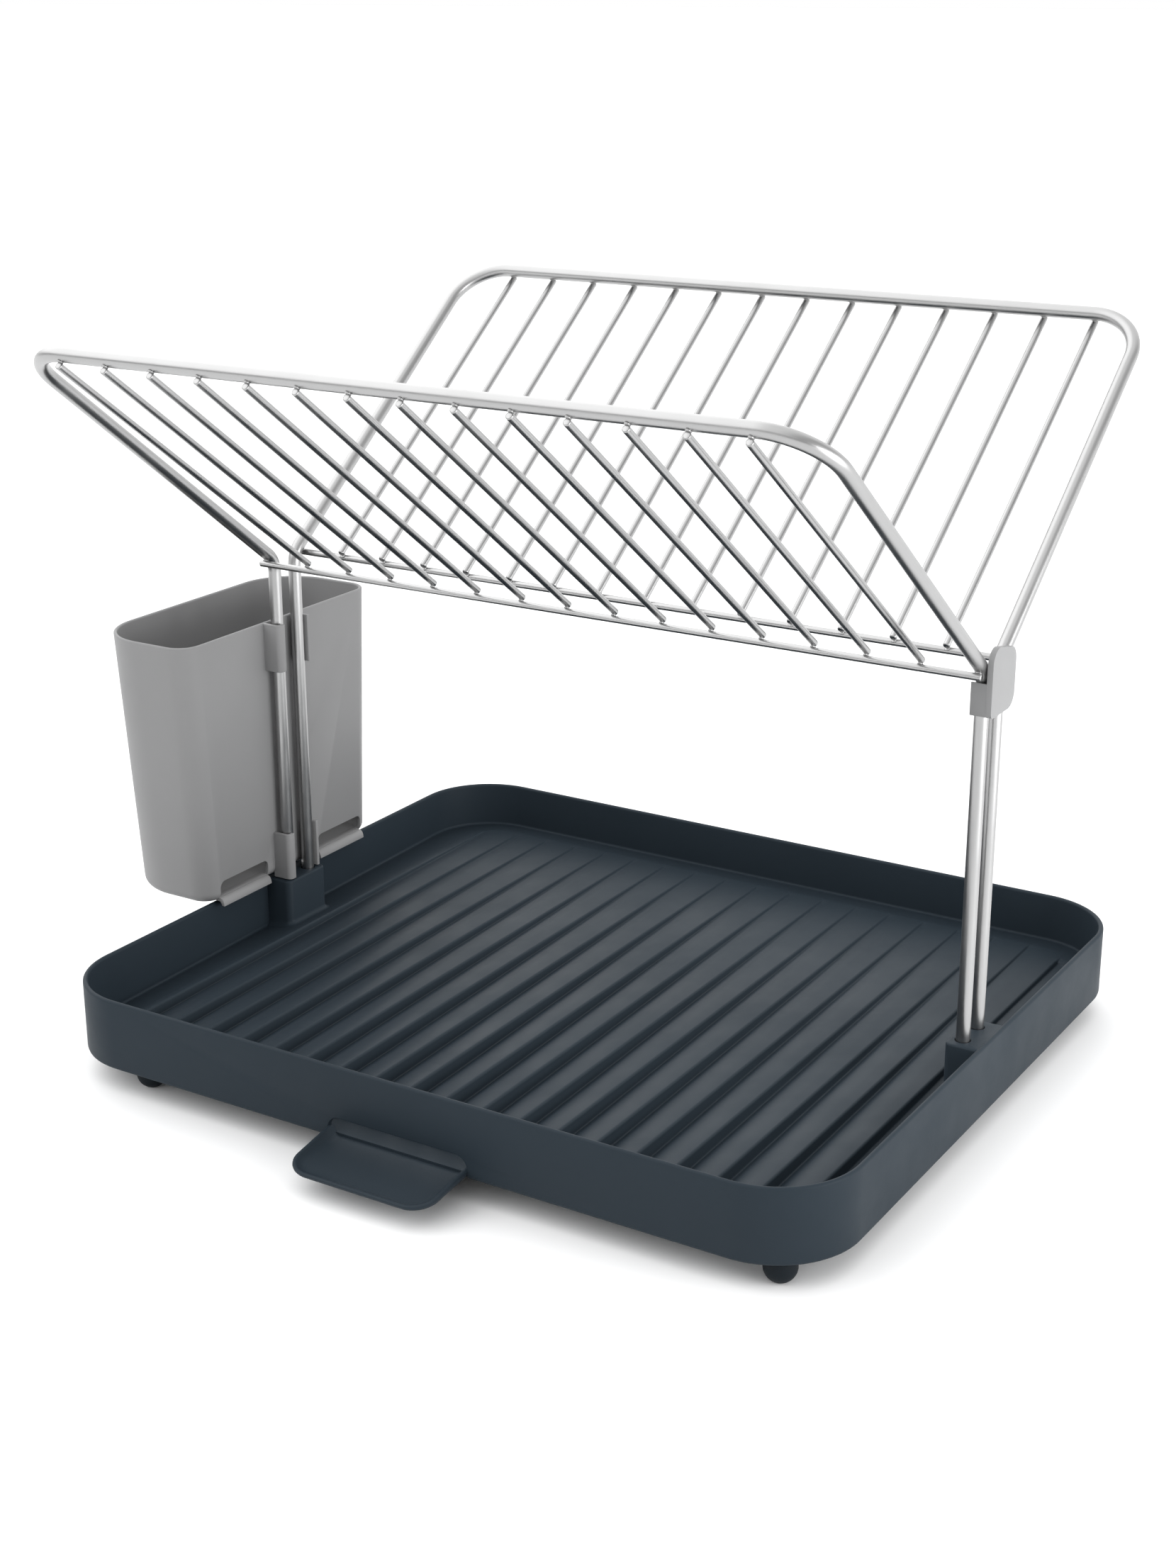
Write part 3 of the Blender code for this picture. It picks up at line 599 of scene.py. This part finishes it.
def spout():
    """The scoop below the opening in the front wall."""
    shape = (
        (7.5, 0.0, 2.3),
        (4.6, 0.0, 2.15),
        (2.6, 0.08, 1.8),
        (1.2, 0.25, 1.3),
        (0.35, 0.5, 0.7),
        (0.0, 0.8, 0.2),
        (0.1, 0.93, 0.0),
        (0.5, 1.0, 0.0),
        (1.1, 1.02, 0.0),
        (1.8, 0.97, 0.0),
        (2.3, 0.8, 0.0),
        (3.0, 0.5, 0.0),
        (4.2, 0.2, 0.0),
        (5.8, 0.05, 0.0),
        (8.0, 0.0, 0.0),
    )
    rings = []
    for inset, share, drop in shape:
        corner = max(14.0 - inset, 3.0)
        half = 43.5 - inset
        outline = rounded_box(-half, half, -242.5 + inset, -186.0 - inset, (corner, 2.0, 2.0, corner), 14)
        ring = []
        for x, y in outline:
            run = (-204.5 - y) / 38.0
            floor = 14.6 - 3.0 * run
            rim = 19.6 - 6.4 * run
            ring.append(Vector((x, y, floor + (rim - floor) * share - drop)) * MM)
        rings.append(ring)
    scoop = bare_object(loft(rings), "tray_spout")
    wide = 50.0 * MM
    tail = [(-wide, 0.0), (wide, 0.0), (wide, RIM_TOP), (-wide, RIM_TOP)]
    step = [(x, max(z, 15.9 * MM)) for x, z in tail]
    cutters = [prism(tail, 1, -197.0 * MM, -180.0 * MM), prism(step, 1, -201.3 * MM, -182.0 * MM)]
    return shaped(scoop, cutters=cutters)


piece(tray_floor(), "base", TRAY_PLASTIC, ["tray"], sharp=60.0)
piece(tray_wall(), "base", TRAY_PLASTIC)
piece(tray_cove(), "base", TRAY_PLASTIC)
piece(tray_socket(-1.0, "tray_socket_left"), "base", TRAY_PLASTIC)
piece(tray_socket(1.0, "tray_socket_right"), "base", TRAY_PLASTIC)
piece(spout(), "base", TRAY_PLASTIC)


# ---------------------------------------------------------------- feet

FEET = {
    "foot_front_left": (-178.0, -187.0),
    "foot_front_right": (208.0, -187.0),
    "foot_back_left": (-178.0, 187.0),
    "foot_back_right": (208.0, 187.0),
}
for foot_name, (foot_x, foot_y) in FEET.items():
    foot_rings = []
    start = math.asin(3.0 / 8.5)
    for number in range(13):
        tilt = start + (math.pi / 2.0 - start) * number / 12
        radius = 8.5 * math.sin(tilt)
        height = 8.5 * math.cos(start) - 8.5 * math.cos(tilt)
        foot_rings.append(ring_at(arc(foot_x * MM, foot_y * MM, radius * MM, 0, 360, 48)[:-1], height * MM))
    for radius, height in ((8.5, 12.4), (8.3, 12.9), (7.8, 13.2)):
        foot_rings.append(ring_at(arc(foot_x * MM, foot_y * MM, radius * MM, 0, 360, 48)[:-1], height * MM))
    made = bare_object(loft(foot_rings), f"{foot_name}_dome")
    piece(made, "base", FOOT_RUBBER, [foot_name])
    seat = []
    for radius, height in ((9.6, 17.0), (9.6, 14.0), (9.2, 13.5)):
        seat.append(ring_at(arc(foot_x * MM, foot_y * MM, radius * MM, 0, 360, 48)[:-1], height * MM))
    made = bare_object(loft(seat), f"{foot_name}_seat")
    piece(made, "base", TRAY_PLASTIC)


# ---------------------------------------------------------------- rack

WINGS = (("front", -1.0), ("back", 1.0))


def eased_rod(path, radius, sides, name):
    """A cut rod whose two ends are slightly eased."""
    shape = ((0.0, 0.70), (0.06, 0.86), (0.2, 0.97), (0.4, 1.0))
    first = (path[1] - path[0]).normalized()
    last = (path[-2] - path[-1]).normalized()
    line = [path[0] + first * radius * share for share, _ in shape]
    line += path[1:-1]
    line += [path[-1] + last * radius * share for share, _ in reversed(shape)]
    scales = [scale for _, scale in shape]
    radii = [radius * s for s in scales] + [radius] * (len(path) - 2) + [radius * s for s in reversed(scales)]
    return bare_object(tube(line, radii, sides), name)


def weld(at, along, outward, size):
    """A small flattened bead of weld. The size is its half-lengths across, along the wire and outward."""
    bm = bmesh.new()
    bmesh.ops.create_icosphere(bm, subdivisions=3, radius=1.0)
    across = along.cross(outward).normalized()
    turn = Matrix((across, along, outward)).transposed()
    for vert in bm.verts:
        wobble = 1.0 + 0.06 * math.sin(5.0 * vert.co.x + 3.0 * vert.co.y) * math.cos(4.0 * vert.co.z)
        local = Vector(vert.co[i] * size[i] * wobble for i in range(3))
        vert.co = at + turn @ local
    return bm


def join(whole, bead):
    """Adds one bead to the mesh of all of them."""
    mesh = bpy.data.meshes.new("bead")
    bead.to_mesh(mesh)
    bead.free()
    whole.from_mesh(mesh)
    bpy.data.meshes.remove(mesh)


def wing(name, side):
    corners = [
        Vector((-LEG_X, side * LEG_Y, 21.0 * MM)),
        Vector((-LEG_X, side * LEG_Y, BEND_Z)),
        Vector((-LEG_X, side * RAIL_Y, RAIL_Z)),
        Vector((LEG_X, side * RAIL_Y, RAIL_Z)),
        Vector((LEG_X, side * LEG_Y, BEND_Z)),
        Vector((LEG_X, side * LEG_Y, 21.0 * MM)),
    ]
    path = filleted(corners, (15.0 * MM, 30.0 * MM, 30.0 * MM, 15.0 * MM), 20)
    made = eased_rod(subdivided(path, 60.0 * MM), ROD_RADIUS, 40, f"{name}_frame_rod")
    piece(made, "rack", FRAME_STEEL, [f"{name}_frame"])
    ends = [Vector((x * MM, side * CROSS_Y, CROSS_Z)) for x in (-224.3, 224.3)]
    made = eased_rod(subdivided(ends, 60.0 * MM), WIRE_RADIUS, 28, f"{name}_cross_rod")
    piece(made, "rack", WIRE_STEEL, [f"{name}_cross_wire"])
    beads = bmesh.new()
    for number in range(WIRES):
        x = WIRE_PITCH * (number - (WIRES - 1) / 2.0)
        low = Vector((x, side * WIRE_FOOT[0], WIRE_FOOT[1]))
        high = Vector((x, side * WIRE_TOP[0], WIRE_TOP[1]))
        rod_name = f"{name}_plate_wire_{number + 1:02d}"
        made = eased_rod(subdivided([low, high], 60.0 * MM), WIRE_RADIUS, 28, rod_name)
        piece(made, "rack", WIRE_STEEL, [f"{name}_wire_{number + 1:02d}"])
        along = (high - low).normalized()
        for centre, radius in (
            (Vector((x, side * RAIL_Y, RAIL_Z)), ROD_RADIUS),
            (Vector((x, side * CROSS_Y, CROSS_Z)), WIRE_RADIUS),
        ):
            nearest = low + along * (centre - low).dot(along)
            outward = (nearest - centre).normalized()
            at = centre + outward * (radius + 0.15 * MM)
            join(beads, weld(at, along, outward, (1.5 * MM, 1.9 * MM, 0.75 * MM)))
    for x in (-LEG_X, LEG_X):
        centre = Vector((x, side * 24.25 * MM, 246.1 * MM))
        wire = Vector((x, side * CROSS_Y, CROSS_Z))
        outward = (wire - centre).normalized()
        at = wire + outward * (WIRE_RADIUS + 0.15 * MM)
        join(beads, weld(at, Vector((1.0, 0.0, 0.0)), outward, (1.2 * MM, 1.9 * MM, 0.7 * MM)))
    layer = beads.verts.layers.float_vector.new("grain")
    for vert in beads.verts:
        vert[layer] = vert.co
    piece(bare_object(beads, f"{name}_welds"), "rack", WIRE_STEEL)


for wing_name, wing_side in WINGS:
    wing(wing_name, wing_side)


# ---------------------------------------------------------------- clip


def clip_shape():
    """The plate over both legs with its two jaws, all edges softened."""
    outline = (
        arc(-12.0, 233.8, 3.0, 180.0, 270.0, 8)
        + arc(7.0, 238.8, 8.0, 270.0, 360.0, 12)
        + arc(7.0, 255.0, 8.0, 0.0, 90.0, 12)
        + arc(-7.0, 258.0, 8.0, 90.0, 180.0, 12)
    )
    outline = [(y * MM, z * MM) for y, z in outline]
    plate = bare_object(prism(outline, 0, 225.8 * MM, 228.8 * MM), "clip_body")
    unions = []
    for side in (-1.0, 1.0):
        wall = [
            (227.4, 13.6),
            (219.4, 13.6),
            (218.4, 13.35),
            (217.4, 13.6),
            (217.4, 14.5),
            (217.9, 14.88),
            (227.4, 14.88),
        ]
        low = 231.7 if side < 0 else 233.2
        rings = [[Vector((x * MM, side * y * MM, z * MM)) for x, y in wall] for z in (low, 248.5)]
        unions.append(loft(rings))
    return shaped(plate, unions=unions, bevel=0.45 * MM, segments=3, angle=40.0)


piece(clip_shape(), "clip", CLIP_PLASTIC, ["clip"])


# ---------------------------------------------------------------- cutlery holder

HOLDER_LOW_Z = 56.0
HOLDER_TOP_Z = 215.5


def holder_ring(z, inset):
    """One ring of the tapering cup, in millimetres before scaling."""
    rise = (z - HOLDER_LOW_Z) / (HOLDER_TOP_Z - HOLDER_LOW_Z)
    half = 79.5 + 8.5 * rise - inset
    outer = -296.0 - 4.0 * rise + inset
    radii = (14.0 - inset,) * 2 + (35.0 - inset,) * 2
    middle = HOLDER_MIDDLE_Y / MM
    outline = rounded_box(outer, -227.0 - inset, middle - half, middle + half, radii, 16)
    return ring_at([(x * MM, y * MM) for x, y in outline], z * MM)


def cup():
    """The cup in one sheet, up its outside and down its inside, with two slots low on its inner face."""
    rings = []
    quarter = [math.radians(90.0 * number / 8) for number in range(9)]
    for angle in quarter:
        rings.append(holder_ring(HOLDER_LOW_Z + 6.0 * (1.0 - math.cos(angle)), 6.0 * (1.0 - math.sin(angle))))
    for number in range(9):
        angle = math.radians(180.0 - 22.5 * number)
        rings.append(holder_ring(HOLDER_TOP_Z - 1.1 + 1.1 * math.sin(angle), 1.1 + 1.1 * math.cos(angle)))
    for angle in reversed(quarter):
        rings.append(holder_ring(58.4 + 3.8 * (1.0 - math.cos(angle)), 2.2 + 3.8 * (1.0 - math.sin(angle))))
    made = bare_object(loft(rings), "holder_cup")
    cutters = []
    for side in (-1.0, 1.0):
        near, far = sorted((HOLDER_MIDDLE_Y / MM + side * 24.5, HOLDER_MIDDLE_Y / MM + side * 68.5))
        corners = (0.2 * MM, 4 * MM, 4 * MM, 0.2 * MM)
        slot = rounded_box(near * MM, far * MM, 58.6 * MM, 68.5 * MM, corners, 10)
        cutters.append(prism(slot, 0, -233.0 * MM, -222.0 * MM))
    return shaped(made, cutters=cutters, bevel=0.35 * MM, segments=2, angle=60.0)


def drip_lip(name, side):
    line = [(-234.0, 58.6), (-234.0, 56.4), (-228.3, 56.0), (-227.2, 54.6), (-226.8, 53.4), (-224.8, 53.4)]
    line += [(-225.1, 55.4), (-225.7, 57.0), (-226.6, 57.9), (-227.8, 58.3)]
    near, far = sorted((HOLDER_MIDDLE_Y / MM + side * 24.3, HOLDER_MIDDLE_Y / MM + side * 68.7))
    outline = [(x * MM, z * MM) for x, z in line]
    made = bare_object(prism(outline, 1, near * MM, far * MM), name)
    return shaped(made, bevel=0.3 * MM, segments=2, angle=40.0)


def hook(name, low, high):
    """A hook that goes out beside the near leg, round a corner and part-way behind it."""
    points = [(-228.0, -15.6)] + arc(-218.3, -12.6, 3.0, -90.0, 0.0, 10)
    points += [(-215.3, -10.0), (-217.5, -10.0)] + arc(-218.5, -12.4, 1.0, 0.0, -90.0, 5) + [(-228.0, -13.4)]
    outline = [(x * MM, y * MM) for x, y in points]
    made = bare_object(prism(outline, 2, low * MM, high * MM), name)
    return shaped(made, bevel=0.4 * MM, segments=3, angle=40.0)


def fin(name, low, high):
    points = [(-228.0, 13.4), (-217.2, 13.4), (-217.2, 15.6), (-228.0, 15.6)]
    outline = [(x * MM, y * MM) for x, y in points]
    made = bare_object(prism(outline, 2, low * MM, high * MM), name)
    return shaped(made, bevel=0.45 * MM, segments=3, angle=40.0)


def holder_piece(made, nodes=()):
    piece(made, "cutlery_holder", HOLDER_PLASTIC, nodes)


holder_piece(cup(), ["cutlery_holder"])
holder_piece(drip_lip("holder_lip_near", -1.0))
holder_piece(drip_lip("holder_lip_far", 1.0))
for band, low_z, high_z in (("lower", 54.9, 83.9), ("upper", 186.4, 215.2)):
    holder_piece(hook(f"holder_hook_{band}", low_z, high_z))
    holder_piece(fin(f"holder_fin_{band}", low_z, high_z))


# ---------------------------------------------------------------- floor, light and camera

floor_mesh_data = bmesh.new()
bmesh.ops.create_grid(floor_mesh_data, x_segments=1, y_segments=1, size=40.0)
floor = bare_object(floor_mesh_data, "studio_floor")
floor_look = Nodes("studio_floor_white")
floor_place = floor_look.add("ShaderNodeTexCoord").outputs["Object"]
floor_tone = floor_look.noise(floor_place, 3.0, 3.0)
floor_colour = floor_look.colours(floor_tone, (0.93, 0.935, 0.94), (0.95, 0.95, 0.95))
floor_look.link(floor_colour, floor_look.shader.inputs["Base Color"])
floor_look.shader.inputs["Roughness"].default_value = 0.9
floor_look.shader.inputs["Specular IOR Level"].default_value = 0.1
floor.data.materials.append(floor_look.material)

world = bpy.data.worlds.new("studio")
bpy.context.scene.world = world
world.use_nodes = True
tree = world.node_tree
tree.nodes.clear()
direction = tree.nodes.new("ShaderNodeTexCoord").outputs["Generated"]
split = tree.nodes.new("ShaderNodeSeparateXYZ")
tree.links.new(direction, split.inputs["Vector"])


def world_node(kind, values, **settings):
    node = tree.nodes.new(kind)
    for key, value in settings.items():
        setattr(node, key, value)
    for key, value in values.items():
        if isinstance(value, (int, float)):
            node.inputs[key].default_value = value
        else:
            tree.links.new(value, node.inputs[key])
    return node.outputs[0]


def between(value, low, high, to_low, to_high):
    values = {"Value": value, "From Min": low, "From Max": high, "To Min": to_low, "To Max": to_high}
    return world_node("ShaderNodeMapRange", values, interpolation_type="SMOOTHSTEP")


# High up it is bright but for a dim patch at the right. Low down it is bright only behind the rack.
high_right = between(split.outputs["X"], 0.2, 0.75, 1.45, 0.65)
high_left = between(split.outputs["X"], -0.5, -0.1, 0.9, 0.0)
high = world_node("ShaderNodeMath", {0: high_right, 1: high_left}, operation="ADD")
low = between(split.outputs["Y"], -0.5, 0.6, 0.42, 1.25)
overhead = between(split.outputs["Z"], 0.1, 0.4, 0.0, 1.0)
bright = world_node("ShaderNodeMix", {0: overhead, 2: low, 3: high}, data_type="FLOAT")
camera_ray = tree.nodes.new("ShaderNodeLightPath").outputs["Is Camera Ray"]
seen = world_node("ShaderNodeMix", {0: camera_ray, 2: bright, 3: 1.0}, data_type="FLOAT")
background = tree.nodes.new("ShaderNodeBackground")
background.inputs["Color"].default_value = (1.0, 1.0, 1.0, 1.0)
tree.links.new(seen, background.inputs["Strength"])
output = tree.nodes.new("ShaderNodeOutputWorld")
tree.links.new(background.outputs["Background"], output.inputs["Surface"])

side_data = bpy.data.lights.new("side_light", "AREA")
side_data.shape = "RECTANGLE"
side_data.size = 0.7
side_data.size_y = 0.45
side_data.energy = 1.4
side_data.spread = math.radians(80.0)
side_light = bpy.data.objects.new("side_light", side_data)
side_light.location = Vector((0.75, 0.0, 0.28)) + MIDDLE
side_light.rotation_euler = Vector((1.0, 0.0, 0.1)).to_track_quat("Z", "Y").to_euler()
side_light.visible_camera = False
bpy.context.scene.collection.objects.link(side_light)

AZIMUTH = math.radians(31.6054)
ELEVATION = math.radians(19.3028)
ROLL = math.radians(-0.1102)
DISTANCE = 1257.656 * MM
TARGET = Vector((2.447, -23.402, 159.151)) * MM + MIDDLE
away = Vector(
    (
        math.sin(AZIMUTH) * math.cos(ELEVATION),
        -math.cos(AZIMUTH) * math.cos(ELEVATION),
        math.sin(ELEVATION),
    )
)
right = Vector((0.0, 0.0, 1.0)).cross(away).normalized()
up = away.cross(right)
level_right = right * math.cos(ROLL) + up * math.sin(ROLL)
level_up = up * math.cos(ROLL) - right * math.sin(ROLL)
camera_data = bpy.data.cameras.new("camera")
camera_data.sensor_width = 36.0
camera_data.lens = 52.922
camera_data.clip_end = 200.0
camera = bpy.data.objects.new("camera", camera_data)
turned = Matrix((level_right, level_up, away)).transposed().to_4x4()
camera.matrix_world = Matrix.Translation(TARGET + away * DISTANCE) @ turned
bpy.context.scene.collection.objects.link(camera)
bpy.context.scene.camera = camera
bpy.context.scene.view_settings.view_transform = "Standard"
